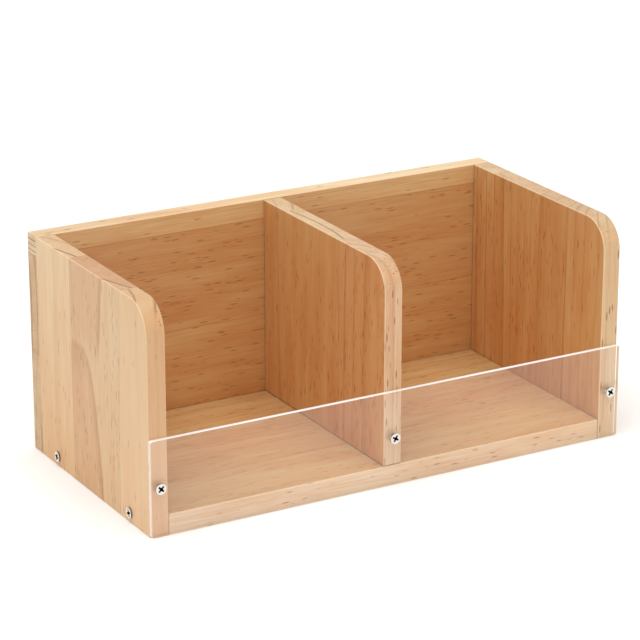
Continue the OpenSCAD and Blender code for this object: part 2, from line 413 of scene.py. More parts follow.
def growth_rings(wood):
    """The share of late wood at a point, and how far the trunk is off round there, in millimetres."""
    tree, across, through, along, place = wood.tree, wood.across, wood.through, wood.along, wood.place
    pith = by_stave(tree, wood.steps, [Vector((*s.pith, 0)) for s in wood.panel.staves], "VECTOR")
    ring, edge, lean, wander = (of_stave(wood, name) for name in ("ring", "edge", "lean", "wander"))
    flat_place = add(tree, "ShaderNodeCombineXYZ", {0: across, 1: through})
    radius = add(tree, "ShaderNodeVectorMath", {0: flat_place, 1: pith},
                 operation="DISTANCE").outputs["Value"]
    leaned = add(tree, "ShaderNodeMath", {0: along, 1: lean, 2: radius}, operation="MULTIPLY_ADD")
    slow = add(tree, "ShaderNodeVectorMath", {0: place, 1: TRUNK_PER_MM}, operation="MULTIPLY")
    trunk = add(tree, "ShaderNodeTexNoise", {"Vector": slow, "W": wood.seed, "Scale": 1, "Detail": 2},
                noise_dimensions="4D")
    off_round = add(tree, "ShaderNodeMapRange", {0: trunk, 3: -OFF_ROUND, 4: OFF_ROUND})
    wandered = add(tree, "ShaderNodeMath", {0: off_round, 1: wander, 2: leaned}, operation="MULTIPLY_ADD")
    from_edge = add(tree, "ShaderNodeMath", {0: wandered, 1: edge}, operation="SUBTRACT")
    years = add(tree, "ShaderNodeMath", {0: from_edge, 1: ring}, operation="DIVIDE")
    uneven = add(tree, "ShaderNodeTexNoise", {"W": years, "Scale": YEARS_SCALE, "Detail": 1},
                 noise_dimensions="1D")
    unlike = add(tree, "ShaderNodeMapRange", {0: uneven, 3: -UNEQUAL, 4: UNEQUAL})
    age = add(tree, "ShaderNodeMath", {0: unlike, 1: wander, 2: years}, operation="MULTIPLY_ADD")
    season = add(tree, "ShaderNodeMath", {0: age}, operation="FRACT")
    year = add(tree, "ShaderNodeMath", {0: age}, operation="FLOOR")
    deepening = add(tree, "ShaderNodeMapRange", {0: season, 1: LATE_STARTS, 2: LATE_FULL},
                    interpolation_type="SMOOTHSTEP")
    ended = add(tree, "ShaderNodeMapRange", {0: season, 1: LATE_ENDS, 2: 1.0, 3: deepening, 4: 0.0})
    tree_and_year = add(tree, "ShaderNodeCombineXYZ", {0: year, 1: wood.seed})
    vigour = add(tree, "ShaderNodeTexWhiteNoise", {"Vector": tree_and_year}, noise_dimensions="2D")
    strength = add(tree, "ShaderNodeMapRange", {0: vigour.outputs["Value"], 3: FAINTEST, 4: 1.0})
    late = add(tree, "ShaderNodeMath", {0: ended, 1: strength}, operation="MULTIPLY")
    return late, off_round


print("late wood takes up", round(100 * (1 - LATE_STARTS)), "% of a ring")

# %% [markdown]
# On a face, late wood is only a shade darker. On the end grain, where cut fibres drink the lacquer, it is
# brown. The end grain is wherever the surface faces along the grain. The flame is laid over the rings of its
# own stave, and beside it there are more resin canals.

# %% Late wood on the faces and on the end grain
# Cosines between which a surface turns into end grain
END_GRAIN_FROM = 0.45
END_GRAIN_TO = 0.85
# The flame's depth on a face, as a share of its depth on the end grain
FLAME_ON_FACE = 0.6
# Millimetres over which the canals grow more, and how many times as many there are then
CROWD_EDGE = 4.0
CROWDING = 2.5


def late_wood(wood, tone, form):
    """The tone with its rings, and its flame where it has one, and how many times as many canals it has."""
    tree, across, through, along, steps = wood.tree, wood.across, wood.through, wood.along, wood.steps
    late, off_round = growth_rings(wood)
    facing = add(tree, "ShaderNodeVectorMath", {0: wood.normal, 1: axis(wood.panel.along)},
                 operation="DOT_PRODUCT").outputs["Value"]
    square = add(tree, "ShaderNodeMath", {0: facing}, operation="ABSOLUTE")
    end_grain = add(tree, "ShaderNodeMapRange", {0: square, 1: END_GRAIN_FROM, 2: END_GRAIN_TO},
                    interpolation_type="SMOOTHSTEP")
    depth = add(tree, "ShaderNodeMix", {"Factor": end_grain, "A": of_stave(wood, "bold"),
                                        "B": of_stave(wood, "ends")})
    late_cover = add(tree, "ShaderNodeMath", {0: late, 1: depth}, operation="MULTIPLY")
    thronged = 1.0
    if form:
        swayed = add(tree, "ShaderNodeMath", {0: off_round, 1: across}, operation="ADD")
        flame_late, flame_warm = flame(tree, form, swayed, through, along)
        beyond = steps[form.stave] if form.stave < len(steps) else 0.0
        here = add(tree, "ShaderNodeMath", {0: steps[form.stave - 1], 1: beyond}, operation="SUBTRACT")
        flame_depth = add(tree, "ShaderNodeMix", {"Factor": end_grain, "A": FLAME_ON_FACE, "B": 1.0})
        flame_share = add(tree, "ShaderNodeMath", {0: flame_late, 1: flame_depth}, operation="MULTIPLY")
        in_stave = add(tree, "ShaderNodeMath", {0: flame_share, 1: here}, operation="MULTIPLY")
        late_cover = add(tree, "ShaderNodeMath", {0: late_cover, 1: in_stave}, operation="MAXIMUM")
        warm_here = add(tree, "ShaderNodeMath", {0: flame_warm, 1: here}, operation="MULTIPLY")
        tone = add(tree, "ShaderNodeMix", {"Factor": warm_here, "A": tone, "B": linear("#f7ece5")},
                   data_type="RGBA", blend_type="MULTIPLY")
        thronged = add(tree, "ShaderNodeMapRange", {0: across, 1: form.crowd, 2: form.crowd + CROWD_EDGE,
                                                    3: 1.0, 4: CROWDING})
    late_shade = add(tree, "ShaderNodeMix", {"Factor": end_grain, "A": linear("#d6bb9e"),
                                             "B": linear("#a27a56")}, data_type="RGBA")
    late_tone = add(tree, "ShaderNodeMix", {"Factor": 1.0, "A": tone, "B": late_shade},
                    data_type="RGBA", blend_type="MULTIPLY")
    ringed = add(tree, "ShaderNodeMix", {"Factor": late_cover, "A": tone, "B": late_tone}, data_type="RGBA")
    return ringed, thronged


print("beside a flame there are", CROWDING, "times as many canals")

# %% [markdown]
# Fibres are fine streaks along the grain, and over them lie patches where the wood is warmer. Both could be
# painted, but a noise that is stretched along the grain gives them on every face at once. Where the noise is
# low, it tints the wood.

# %% Fibres and patches
# Noise cells for each millimetre across, through and along
FIBRE_PER_MM = (1.3, 1.3, 0.04)
PATCH_PER_MM = (0.09, 0.09, 0.012)
TINTED_BELOW = 0.32
PLAIN_ABOVE = 0.68


def fibres_and_patches(wood, colour):
    """The colour with its fibres and patches, and their two noises, which other layers follow."""
    tree, place, mottle = wood.tree, wood.place, of_stave(wood, "mottle")
    fine = add(tree, "ShaderNodeVectorMath", {0: place, 1: FIBRE_PER_MM}, operation="MULTIPLY")
    fibre = add(tree, "ShaderNodeTexNoise", {"Vector": fine, "W": wood.seed, "Scale": 1, "Detail": 4,
                                             "Roughness": 0.6}, noise_dimensions="4D")
    broad = add(tree, "ShaderNodeVectorMath", {0: place, 1: PATCH_PER_MM}, operation="MULTIPLY")
    patch = add(tree, "ShaderNodeTexNoise", {"Vector": broad, "W": wood.seed, "Scale": 1, "Detail": 3},
                noise_dimensions="4D")
    for noise, shade in ((fibre, "#eee0d2"), (patch, "#f5e0cc")):
        spread = add(tree, "ShaderNodeMapRange", {0: noise, 1: TINTED_BELOW, 2: PLAIN_ABOVE, 3: mottle,
                                                  4: 0.0})
        colour = add(tree, "ShaderNodeMix", {"Factor": spread, "A": colour, "B": linear(shade)},
                     data_type="RGBA", blend_type="MULTIPLY")
    return colour, fibre, patch


print("a fibre is about", round(1 / FIBRE_PER_MM[0], 1), "mm wide, a patch", round(1 / PATCH_PER_MM[0]), "mm")

# %% [markdown]
# Resin canals show as brown dashes along the grain, half a millimetre wide and up to six long. A pattern of
# cells, stretched along the grain, gives each dash its place, and a random number for each cell says whether
# it has one. There are more of them where the wood is warmer.

# %% Resin canals
# Cells for each millimetre across, through and along
CANALS_PER_MM = (1.15, 0.6, 0.11)
# Distances from a cell's middle, in cells
DASH_EDGE = 0.4
DASH_CORE = 0.26
# Values of the patches' noise, and the share of the canals that is left above the second
MANY_BELOW = 0.35
FEW_ABOVE = 0.6
FEW_SHARE = 0.3
CANAL_COVER = 0.75


def resin_canals(wood, colour, patch, thronged):
    """The colour with its brown dashes."""
    tree = wood.tree
    cells = add(tree, "ShaderNodeVectorMath", {0: wood.place, 1: CANALS_PER_MM, 2: wood.seed},
                operation="MULTIPLY_ADD")
    canal = add(tree, "ShaderNodeTexVoronoi", {"Vector": cells, "Scale": 1, "Randomness": 1.0})
    draw = add(tree, "ShaderNodeSeparateColor", {0: canal.outputs["Color"]})
    warmth = add(tree, "ShaderNodeMapRange", {0: patch, 1: MANY_BELOW, 2: FEW_ABOVE, 3: 1.0, 4: FEW_SHARE})
    rare = add(tree, "ShaderNodeMath", {0: of_stave(wood, "flecks"), 1: warmth}, operation="MULTIPLY")
    count = add(tree, "ShaderNodeMath", {0: rare, 1: thronged}, operation="MULTIPLY")
    drawn = add(tree, "ShaderNodeMath", {0: draw, 1: count}, operation="LESS_THAN")
    dash = add(tree, "ShaderNodeMapRange", {0: canal.outputs["Distance"], 1: DASH_EDGE, 2: DASH_CORE})
    fleck = add(tree, "ShaderNodeMath", {0: dash, 1: drawn}, operation="MULTIPLY")
    fleck_cover = add(tree, "ShaderNodeMath", {0: fleck, 1: CANAL_COVER}, operation="MULTIPLY")
    return add(tree, "ShaderNodeMix", {"Factor": fleck_cover, "A": colour, "B": linear("#8e5c36")},
               data_type="RGBA")


dash_span = DASH_EDGE + DASH_CORE
print("a dash is at most", round(dash_span / CANALS_PER_MM[0], 1), "mm wide and",
      round(dash_span / CANALS_PER_MM[2]), "mm long where it is half as dark as in the middle")

# %% [markdown]
# Glue soaks a little way into both staves and darkens them, so a glue line is a thin line of darker wood. The
# shader already knows how far a point is from each of them, and the nearest one counts.

# %% Glue lines
# Millimetres from the line: the dark is nothing from the edge outwards and full from the core inwards
GLUE_EDGE = 0.35
GLUE_CORE = 0.1
GLUE_COVER = 0.5
# Where the search for the nearest line starts from
OUT_OF_REACH = 100.0


def glue_lines(wood, colour):
    """The colour with a darker line wherever two staves meet."""
    tree = wood.tree
    nearest = OUT_OF_REACH
    for away in wood.past:
        apart = add(tree, "ShaderNodeMath", {0: away}, operation="ABSOLUTE")
        nearest = add(tree, "ShaderNodeMath", {0: apart, 1: nearest}, operation="MINIMUM")
    glue = add(tree, "ShaderNodeMapRange", {0: nearest, 1: GLUE_EDGE, 2: GLUE_CORE, 3: 0.0, 4: GLUE_COVER})
    return add(tree, "ShaderNodeMix", {"Factor": glue, "A": colour, "B": linear("#a87850")}, data_type="RGBA")


glue_width = round(GLUE_EDGE + GLUE_CORE, 2)
print("a glue line is", glue_width, "mm wide where it is half as dark as in the middle")

# %% [markdown]
# The table gives some faces a tint of their own, which is laid on wherever the surface faces that way. On the
# inner faces and the bottom board's top that tint is painted light and shade. An arris that was rounded by
# sanding is paler than the faces beside it, and that paler colour is also a painted highlight. It is the
# surface that is turned about halfway from the panel's face to its edge.

# %% Faces and arrises
# Cosines between which the tint of a face sets in
FACE_FROM = 0.45
FACE_TO = 0.9
# The cosine in the middle of an arris, and how far from it the paler wood and painted highlight start and are
# full
ARRIS_MIDDLE = 0.6
ARRIS_EDGE = 0.38
ARRIS_CORE = 0.2
ARRIS_COVER = 0.5


def faces_and_arrises(wood, colour):
    """The colour with the tint of each face, which is painted light and shade on the inner faces, and with
    the arrises paler for sanded wood and a painted highlight.
    """
    tree = wood.tree
    # On the inner faces and the bottom board's top the tint is painted light and shade
    for name, tint in wood.panel.tints.items():
        towards = add(tree, "ShaderNodeVectorMath", {0: wood.normal, 1: axis(name)},
                      operation="DOT_PRODUCT").outputs["Value"]
        on_face = add(tree, "ShaderNodeMapRange", {0: towards, 1: FACE_FROM, 2: FACE_TO},
                      interpolation_type="SMOOTHSTEP")
        colour = add(tree, "ShaderNodeMix", {"Factor": on_face, "A": colour, "B": linear(tint)},
                     data_type="RGBA", blend_type="MULTIPLY")
    # The arris is paler for sanded wood, and its paleness is also a painted highlight
    side_facing = add(tree, "ShaderNodeVectorMath", {0: wood.normal, 1: axis(wood.panel.through)},
                      operation="DOT_PRODUCT").outputs["Value"]
    turned = add(tree, "ShaderNodeMath", {0: side_facing}, operation="ABSOLUTE")
    off_middle = add(tree, "ShaderNodeMath", {0: turned, 1: ARRIS_MIDDLE}, operation="SUBTRACT")
    from_middle = add(tree, "ShaderNodeMath", {0: off_middle}, operation="ABSOLUTE")
    sanded_and_highlit_arris = add(tree, "ShaderNodeMapRange", {0: from_middle, 1: ARRIS_EDGE, 2: ARRIS_CORE, 3: 0.0,
                                             4: ARRIS_COVER})
    return add(tree, "ShaderNodeMix", {"Factor": sanded_and_highlit_arris, "A": colour, "B": linear("#f3d7b2")},
               data_type="RGBA")


print("tinted faces:", {board: list(panel.tints) for board, panel in PANELS.items()})

# %% [markdown]
# Where a panel ends against another one, the shader paints a thin dark line of painted shadow in the groove
# that the board's rounded arris leaves there.

# %% Painted shadow at the joints
# Millimetres from the panel's end: the painted shadow is nothing from the edge inwards and full from the core
# outwards
JOINT_EDGE = 0.9
JOINT_CORE = 0.5


def painted_joint_shadows(wood, colour):
    """The colour with a line of painted shadow at each end that meets another panel."""
    tree = wood.tree
    for name, darkness in wood.panel.joints.items():
        corner = wood.high if name[0] == "+" else wood.low
        inwards = add(tree, "ShaderNodeVectorMath", {0: corner, 1: wood.position}, operation="SUBTRACT")
        away = add(tree, "ShaderNodeVectorMath", {0: inwards, 1: axis(name) / MM},
                   operation="DOT_PRODUCT").outputs["Value"]
        painted_joint_shade = add(tree, "ShaderNodeMapRange", {0: away, 1: JOINT_EDGE, 2: JOINT_CORE, 3: 0.0, 4: darkness})
        colour = add(tree, "ShaderNodeMix", {"Factor": painted_joint_shade, "A": colour, "B": linear("#6a452a")},
                     data_type="RGBA")
    return colour


print("joints drawn:", sum(len(panel.joints) for panel in PANELS.values()))

# %% [markdown]
# Satin lacquer is the last layer. It sinks into the early wood, so the gloss and the relief both follow the
# noise of the fibres. A thin coat on top gives the faces their soft shine.

# %% Lacquered pine
# Blender's noise rarely leaves this range
LOW_NOISE = 0.3
HIGH_NOISE = 0.7
ROUGHEST = 0.52
SMOOTHEST = 0.42
RELIEF = 0.06 * MM
SEEDS_APART = 10.0


def lacquered_pine(board, panel, seed):
    """Edge-glued radiata pine, sanded and lacquered: satin, with the figure of each stave."""
    material = bpy.data.materials.new("lacquered_pine." + board)
    material.use_nodes = True
    tree = material.node_tree
    shader = tree.nodes["Principled BSDF"]
    wood = measured_wood(tree, board, panel, seed)
    colour, thronged = late_wood(wood, stave_tone(wood), FLAMES.get(board))
    colour, fibre, patch = fibres_and_patches(wood, colour)
    colour = resin_canals(wood, colour, patch, thronged)
    colour = glue_lines(wood, colour)
    colour = faces_and_arrises(wood, colour)
    colour = painted_joint_shadows(wood, colour)
    tree.links.new(colour.outputs[COLOUR_OUT], shader.inputs["Base Color"])

    gloss = add(tree, "ShaderNodeMapRange", {0: fibre, 1: LOW_NOISE, 2: HIGH_NOISE, 3: ROUGHEST,
                                             4: SMOOTHEST})
    tree.links.new(gloss.outputs[0], shader.inputs["Roughness"])
    relief = add(tree, "ShaderNodeBump", {"Strength": 0.25, "Distance": RELIEF, "Height": fibre})
    tree.links.new(relief.outputs[0], shader.inputs["Normal"])
    shader.inputs["IOR"].default_value = 1.5
    shader.inputs["Coat Weight"].default_value = 0.1
    shader.inputs["Coat Roughness"].default_value = 0.3
    return material


for count, (board, panel) in enumerate(PANELS.items()):
    pine = lacquered_pine(board, panel, SEEDS_APART * (count + 1))
    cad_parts[board].material_slots[0].material = pine
    print(board, "has staves of", [s.width for s in panel.staves], "mm")

# %% [markdown]
# ## The guard
#
# Cast acrylic, 3 mm thick, with flame-polished edges. What makes it look like a sheet and not like air is
# its edge, which gathers the light that is caught inside it and shines white, and the faint reflection of
# the white studio on its face.
#
# A sheet this thin hardly bends what is behind it. So light passes straight through it here, which keeps the
# wood behind it sharp and lets the ceiling's light reach that wood. A Fresnel node gives the share that each
# face throws back, 4% and more at a flat angle. It would take the light that leaves the sheet for light
# inside a solid block, so its index is turned over on the way out. The edges are a second shader, white all
# through with a polished skin. Their white is painted light, for the light that the edge gathers: it is
# painted brightest on top, where the ceiling's light comes in, and half clear at the sides, which is how the
# edges look from outside. From within, through a face, an edge is a mirror, because light can't leave at so
# flat an angle. So the index isn't turned over there, and the lower edge shows the wood behind it.

# %% Clear acrylic
ACRYLIC_IOR = 1.49
# Noise cells for each metre
WIPES_SCALE = 60
# Shares of white: of the most handled places on a face, and of the painted light on an edge at the side and
# on top
VEIL = 0.006
PAINTED_SIDE_LIGHT = 0.45
PAINTED_TOP_LIGHT = 0.9


def cast_acrylic():
    """Cast acrylic with polished edges: clear, with a slight veil from handling, and with painted light that
    makes its edges bright.
    """
    material = bpy.data.materials.new("cast_acrylic")
    material.use_nodes = True
    tree = material.node_tree
    edge = tree.nodes["Principled BSDF"]
    edge.inputs["Roughness"].default_value = 0.15
    edge.inputs["IOR"].default_value = ACRYLIC_IOR
    object_space = add(tree, "ShaderNodeTexCoord")
    wipes = add(tree, "ShaderNodeTexNoise", {"Vector": object_space.outputs["Object"],
                                             "Scale": WIPES_SCALE, "Detail": 3})
    caught = add(tree, "ShaderNodeMix", {"Factor": wipes, "A": linear("#f4f7f7"), "B": linear("#ffffff")},
                 data_type="RGBA")
    tree.links.new(caught.outputs[COLOUR_OUT], edge.inputs["Base Color"])

    through = add(tree, "ShaderNodeBsdfTransparent", {"Color": linear("#ffffff")})
    shine = add(tree, "ShaderNodeBsdfGlossy", {"Color": linear("#ffffff"), "Roughness": 0.03})
    rim = add(tree, "ShaderNodeAttribute", attribute_name="rim").outputs["Fac"]
    leaving = add(tree, "ShaderNodeNewGeometry").outputs["Backfacing"]
    rim_within = add(tree, "ShaderNodeMath", {0: rim, 1: leaving}, operation="MULTIPLY")
    by_face = add(tree, "ShaderNodeMath", {0: leaving, 1: rim_within}, operation="SUBTRACT")
    index = add(tree, "ShaderNodeMapRange", {0: by_face, 3: ACRYLIC_IOR, 4: 1 / ACRYLIC_IOR})
    fresnel = add(tree, "ShaderNodeFresnel", {"IOR": index})
    seen = add(tree, "ShaderNodeLightPath").outputs["Is Camera Ray"]
    thrown_back = add(tree, "ShaderNodeMath", {0: fresnel, 1: seen}, operation="MULTIPLY")
    pane = add(tree, "ShaderNodeMixShader", {0: thrown_back, 1: through, 2: shine})

    rim_outside = add(tree, "ShaderNodeMath", {0: rim, 1: rim_within}, operation="SUBTRACT")
    veil = add(tree, "ShaderNodeMapRange", {0: wipes, 1: LOW_NOISE, 2: HIGH_NOISE, 3: 0.0, 4: VEIL})
    # The edges' white is painted light, brighter on top, where the ceiling's light comes in
    upward = add(tree, "ShaderNodeSeparateXYZ", {0: object_space.outputs["Normal"]}).outputs["Z"]
    painted_edge_light = add(tree, "ShaderNodeMapRange", {0: upward, 3: PAINTED_SIDE_LIGHT, 4: PAINTED_TOP_LIGHT})
    white = add(tree, "ShaderNodeMix", {"Factor": rim_outside, "A": veil, "B": painted_edge_light})
    sheet = add(tree, "ShaderNodeMixShader", {0: white, 1: pane, 2: edge})
    tree.links.new(sheet.outputs[0], tree.nodes["Material Output"].inputs["Surface"])
    return material


straight_on = ((ACRYLIC_IOR - 1) / (ACRYLIC_IOR + 1)) ** 2
print("acrylic throws back", round(100 * straight_on, 1), "% of the light that meets a face straight on")

# %% [markdown]
# A flat curve is the quickest way to a sheet: one outline with four arcs at its corners, which Blender
# fills and thickens. Its bevel rounds all the edges at once, as polishing does. The sheet is a hair thinner
# than its place, so that a layer of air parts it from the wood. Without that layer the light that crosses
# the sheet would never reach the wood.
#
# The holes are drilled afterwards, as in a workshop: three straight ones, and then a countersink in front
# of each, which the screw's head rests in.

# %% The guard's mesh
POLISH_R = 0.3 * MM
CORNER_R = 1.5 * MM
AIR = 0.1 * MM
# A face belongs to the edge when it is turned further than this from the front
RIM_TURN = cos(radians(20))
# The handles of a quarter circle, and of a straight stretch, as shares of the radius
ARC_HANDLE = 0.5523
STUB_HANDLE = 0.01
ARC_STEPS = 12
BEVEL_STEPS = 3
# Points that lie closer than this are merged
WELD = 0.001 * MM


def sheet_outline(curve, low, high, r):
    """A closed outline from corner to corner, with a quarter circle at each of them."""
    middles = [(high[0] - r, low[1] + r), (high[0] - r, high[1] - r), (low[0] + r, high[1] - r),
               (low[0] + r, low[1] + r)]
    spline = curve.splines.new("BEZIER")
    # A new spline has one point already
    spline.bezier_points.add(2 * len(middles) - 1)
    for corner, (x, y) in enumerate(middles):
        for side in (0, 1):
            angle = radians(90 * (corner + side - 1))
            point = spline.bezier_points[2 * corner + side]
            out = Vector((cos(angle), sin(angle), 0))
            along = Vector((-sin(angle), cos(angle), 0)) * r * ARC_HANDLE
            point.co = Vector((x, y, 0)) + out * r
            point.handle_left = point.co - along
            point.handle_right = point.co + along
            if side == 0:
                point.handle_left = point.co - along.normalized() * r * STUB_HANDLE
            else:
                point.handle_right = point.co + along.normalized() * r * STUB_HANDLE
    spline.use_cyclic_u = True


def plain_mesh(thing, name):
    """What Blender shows of an object, as a mesh of its own."""
    graph = bpy.context.evaluated_depsgraph_get()
    mesh = bpy.data.meshes.new_from_object(thing.evaluated_get(graph), preserve_all_data_layers=True,
                                           depsgraph=graph)
    mesh.name = name
    return mesh


guard_low, guard_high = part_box("front_guard")
outline = bpy.data.curves.new("guard_outline", "CURVE")
outline.dimensions = "2D"
outline.fill_mode = "BOTH"
outline.resolution_u = ARC_STEPS
sheet_outline(outline, (guard_low.x, guard_low.z), (guard_high.x, guard_high.z), CORNER_R)
sheet_t = guard_high.y - guard_low.y - AIR
outline.bevel_depth = POLISH_R
outline.bevel_resolution = BEVEL_STEPS
outline.offset = -POLISH_R
outline.extrude = sheet_t / 2 - POLISH_R
sketch = bpy.data.objects.new("guard_sketch", outline)
bpy.context.scene.collection.objects.link(sketch)
blank = plain_mesh(sketch, "guard_blank")
bpy.data.objects.remove(sketch)

# The outline was drawn flat on the floor. It stands up with its front face where the frame's is.
for vertex in blank.vertices:
    x, z, out = vertex.co
    vertex.co = (x, guard_low.y + sheet_t / 2 - out, z)
work = bmesh.new()
work.from_mesh(blank)
bmesh.ops.remove_doubles(work, verts=work.verts, dist=WELD)
bmesh.ops.recalc_face_normals(work, faces=work.faces)
work.to_mesh(blank)
work.free()
rim = blank.attributes.new("rim", "FLOAT", "FACE")
rim.data.foreach_set("value", [float(abs(face.normal.y) < RIM_TURN) for face in blank.polygons])
print("the blank of the guard has", len(blank.polygons), "faces")

# %% Its holes
HOLE_D = 4.2 * MM
SEAT_D = 5.9 * MM
# How far the drills run past the sheet
CLEAR = 1 * MM
HOLE_SIDES = 64
SHARP_FOLD = radians(12)


def drill(thing, places, near, far):
    """Drills a round hole at each place in X and Z. Near and far give a depth in Y and the diameter there."""
    bits = bpy.data.meshes.new("bits")
    work = bmesh.new()
    for x, z in places:
        middle = Matrix.Translation((x, (near[0] + far[0]) / 2, z)) @ Matrix.Rotation(radians(-90), 4, "X")
        bmesh.ops.create_cone(work, cap_ends=True, segments=HOLE_SIDES, radius1=near[1] / 2,
                              radius2=far[1] / 2, depth=far[0] - near[0], matrix=middle)
    work.to_mesh(bits)
    work.free()
    tool = bpy.data.objects.new("bits", bits)
    bpy.context.scene.collection.objects.link(tool)
    cut = thing.modifiers.new("drill", "BOOLEAN")
    cut.operation = "DIFFERENCE"
    cut.solver = "MANIFOLD"
    cut.object = tool
    mesh = plain_mesh(thing, thing.name)
    thing.modifiers.remove(cut)
    thing.data = mesh
    bpy.data.objects.remove(tool)


screw_low, screw_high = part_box("guard_screws")
head_r = (screw_high.z - screw_low.z) / 2
screw_z = screw_low.z + head_r
guard_screws = [(x, screw_z) for x in (screw_low.x + head_r, 0, screw_high.x - head_r)]
guard = bpy.data.objects.new("acrylic_guard", blank)
bpy.context.scene.collection.objects.link(guard)
drill(guard, guard_screws, (guard_low.y - CLEAR, HOLE_D), (guard_high.y + CLEAR, HOLE_D))
countersink = (SEAT_D - HOLE_D) / 2
drill(guard, guard_screws, (guard_low.y - CLEAR, SEAT_D + 2 * CLEAR), (guard_low.y + countersink, HOLE_D))
guard.data.shade_smooth()
guard.data.set_sharp_from_angle(angle=SHARP_FOLD)
guard.data.materials.clear()
guard.data.materials.append(cast_acrylic())
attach(guard, "root")
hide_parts("front_guard")
print("the guard has", len(guard.data.polygons), "faces")

# %% [markdown]
# ## Screws
#
# The rack is held by flat-head wood screws with a cross recess, plated with bright nickel. Their heads
# stand a millimetre proud, because the cone under each of them fills its countersink before the head is
# level. The screws are one shape in two lengths, so one tree of Geometry Nodes makes them. It turns a drum
# into the head, a tube into the threaded shank, and two tapered blocks and a post into the tool that sinks
# the recess. Then it sets a copy of the screw on every point that it is given, along that point's own
# direction, turned as far as the screwdriver left it. The point is the middle of the head's top.

# %% The sizes of the screws
SCREW_INPUTS = {
    "Head Diameter": 6.98 * MM,
    "Rim Top": -0.09 * MM,
    "Rim Foot": -0.45 * MM,
    "Crown": 0.08 * MM,
    "Neck Diameter": 3.5 * MM,
    "Neck Height": -2.05 * MM,
    "Recess Span": 5.1 * MM,
    "Recess Wing": 1.25 * MM,
    "Recess Hub": 2.4 * MM,
    "Recess Depth": 1.7 * MM,
    "Recess Floor": 2.2 * MM,
    "Shank Top": -1.7 * MM,
    "Length": 20 * MM,
    "Tip Length": 5 * MM,
    "Thread Diameter": 3.5 * MM,
    "Core Diameter": 2.3 * MM,
    "Pitch": 1.4 * MM,
}
thread_depth = (SCREW_INPUTS["Thread Diameter"] - SCREW_INPUTS["Core Diameter"]) / 2
print("the thread stands", round(thread_depth / MM, 2), "mm out of the core")

# %% [markdown]
# Nickel plate is a white metal with a soft shine. On a screw the recess and the rim get painted shade,
# because little light comes back out of them. A picture could say where, but the faces know it themselves:
# the screw's tree marks them with an attribute for the painted shade, and the material turns darker and
# duller by it.

# %% Nickel plate
# Noise cells for each metre
PLATE_SCALE = 900
# Roughnesses: of the clearest and the cloudiest plate, and of the places in painted shade
PLATE_CLEAR = 0.16
PLATE_CLOUDY = 0.26
PLATE_SHADED = 0.5


def nickel_plate():
    """Bright nickel plate on steel: white, with a soft shine, and painted shade in the recess and round the
    rim.
    """
    material = bpy.data.materials.new("bright_nickel_plate")
    material.use_nodes = True
    tree = material.node_tree
    shader = tree.nodes["Principled BSDF"]
    bare = add(tree, "ShaderNodeAttribute", attribute_name="bare").outputs["Fac"]
    object_space = add(tree, "ShaderNodeTexCoord")
    cloud = add(tree, "ShaderNodeTexNoise", {"Vector": object_space.outputs["Object"],
                                             "Scale": PLATE_SCALE, "Detail": 3})
    plate = add(tree, "ShaderNodeMix", {"Factor": cloud, "A": linear("#d8d6d0"), "B": linear("#f0eee9")},
                data_type="RGBA")
    shade = add(tree, "ShaderNodeMix", {"Factor": bare, "A": plate, "B": linear("#1c1b1a")},
                data_type="RGBA")
    tree.links.new(shade.outputs[COLOUR_OUT], shader.inputs["Base Color"])
    polished = add(tree, "ShaderNodeMapRange", {0: cloud, 1: LOW_NOISE, 2: HIGH_NOISE, 3: PLATE_CLEAR,
                                                4: PLATE_CLOUDY})
    gloss = add(tree, "ShaderNodeMix", {"Factor": bare, "A": polished, "B": PLATE_SHADED})
    tree.links.new(gloss.outputs[0], shader.inputs["Roughness"])
    shader.inputs["Metallic"].default_value = 1.0
    return material


plated_steel = nickel_plate()
print("the clouds in the plate are about", round(1000 / PLATE_SCALE, 1), "mm wide")

# %% [markdown]
# A head starts as a drum two units high, with rings of points at its foot, halfway up and on top. A formula
# then says where each point goes: the foot's ring to the neck, the middle one to the foot of the rim, the top
# one to the top of the rim, and the lid up into a low crown. So each size stays a number that can change.

# %% A screw's head
HEAD_SIDES = 48
LID_RINGS = 10
# A power of 0.5 would give half an ellipse. A little more lets the crown run out softer at the rim.
CROWN_POWER = 0.6


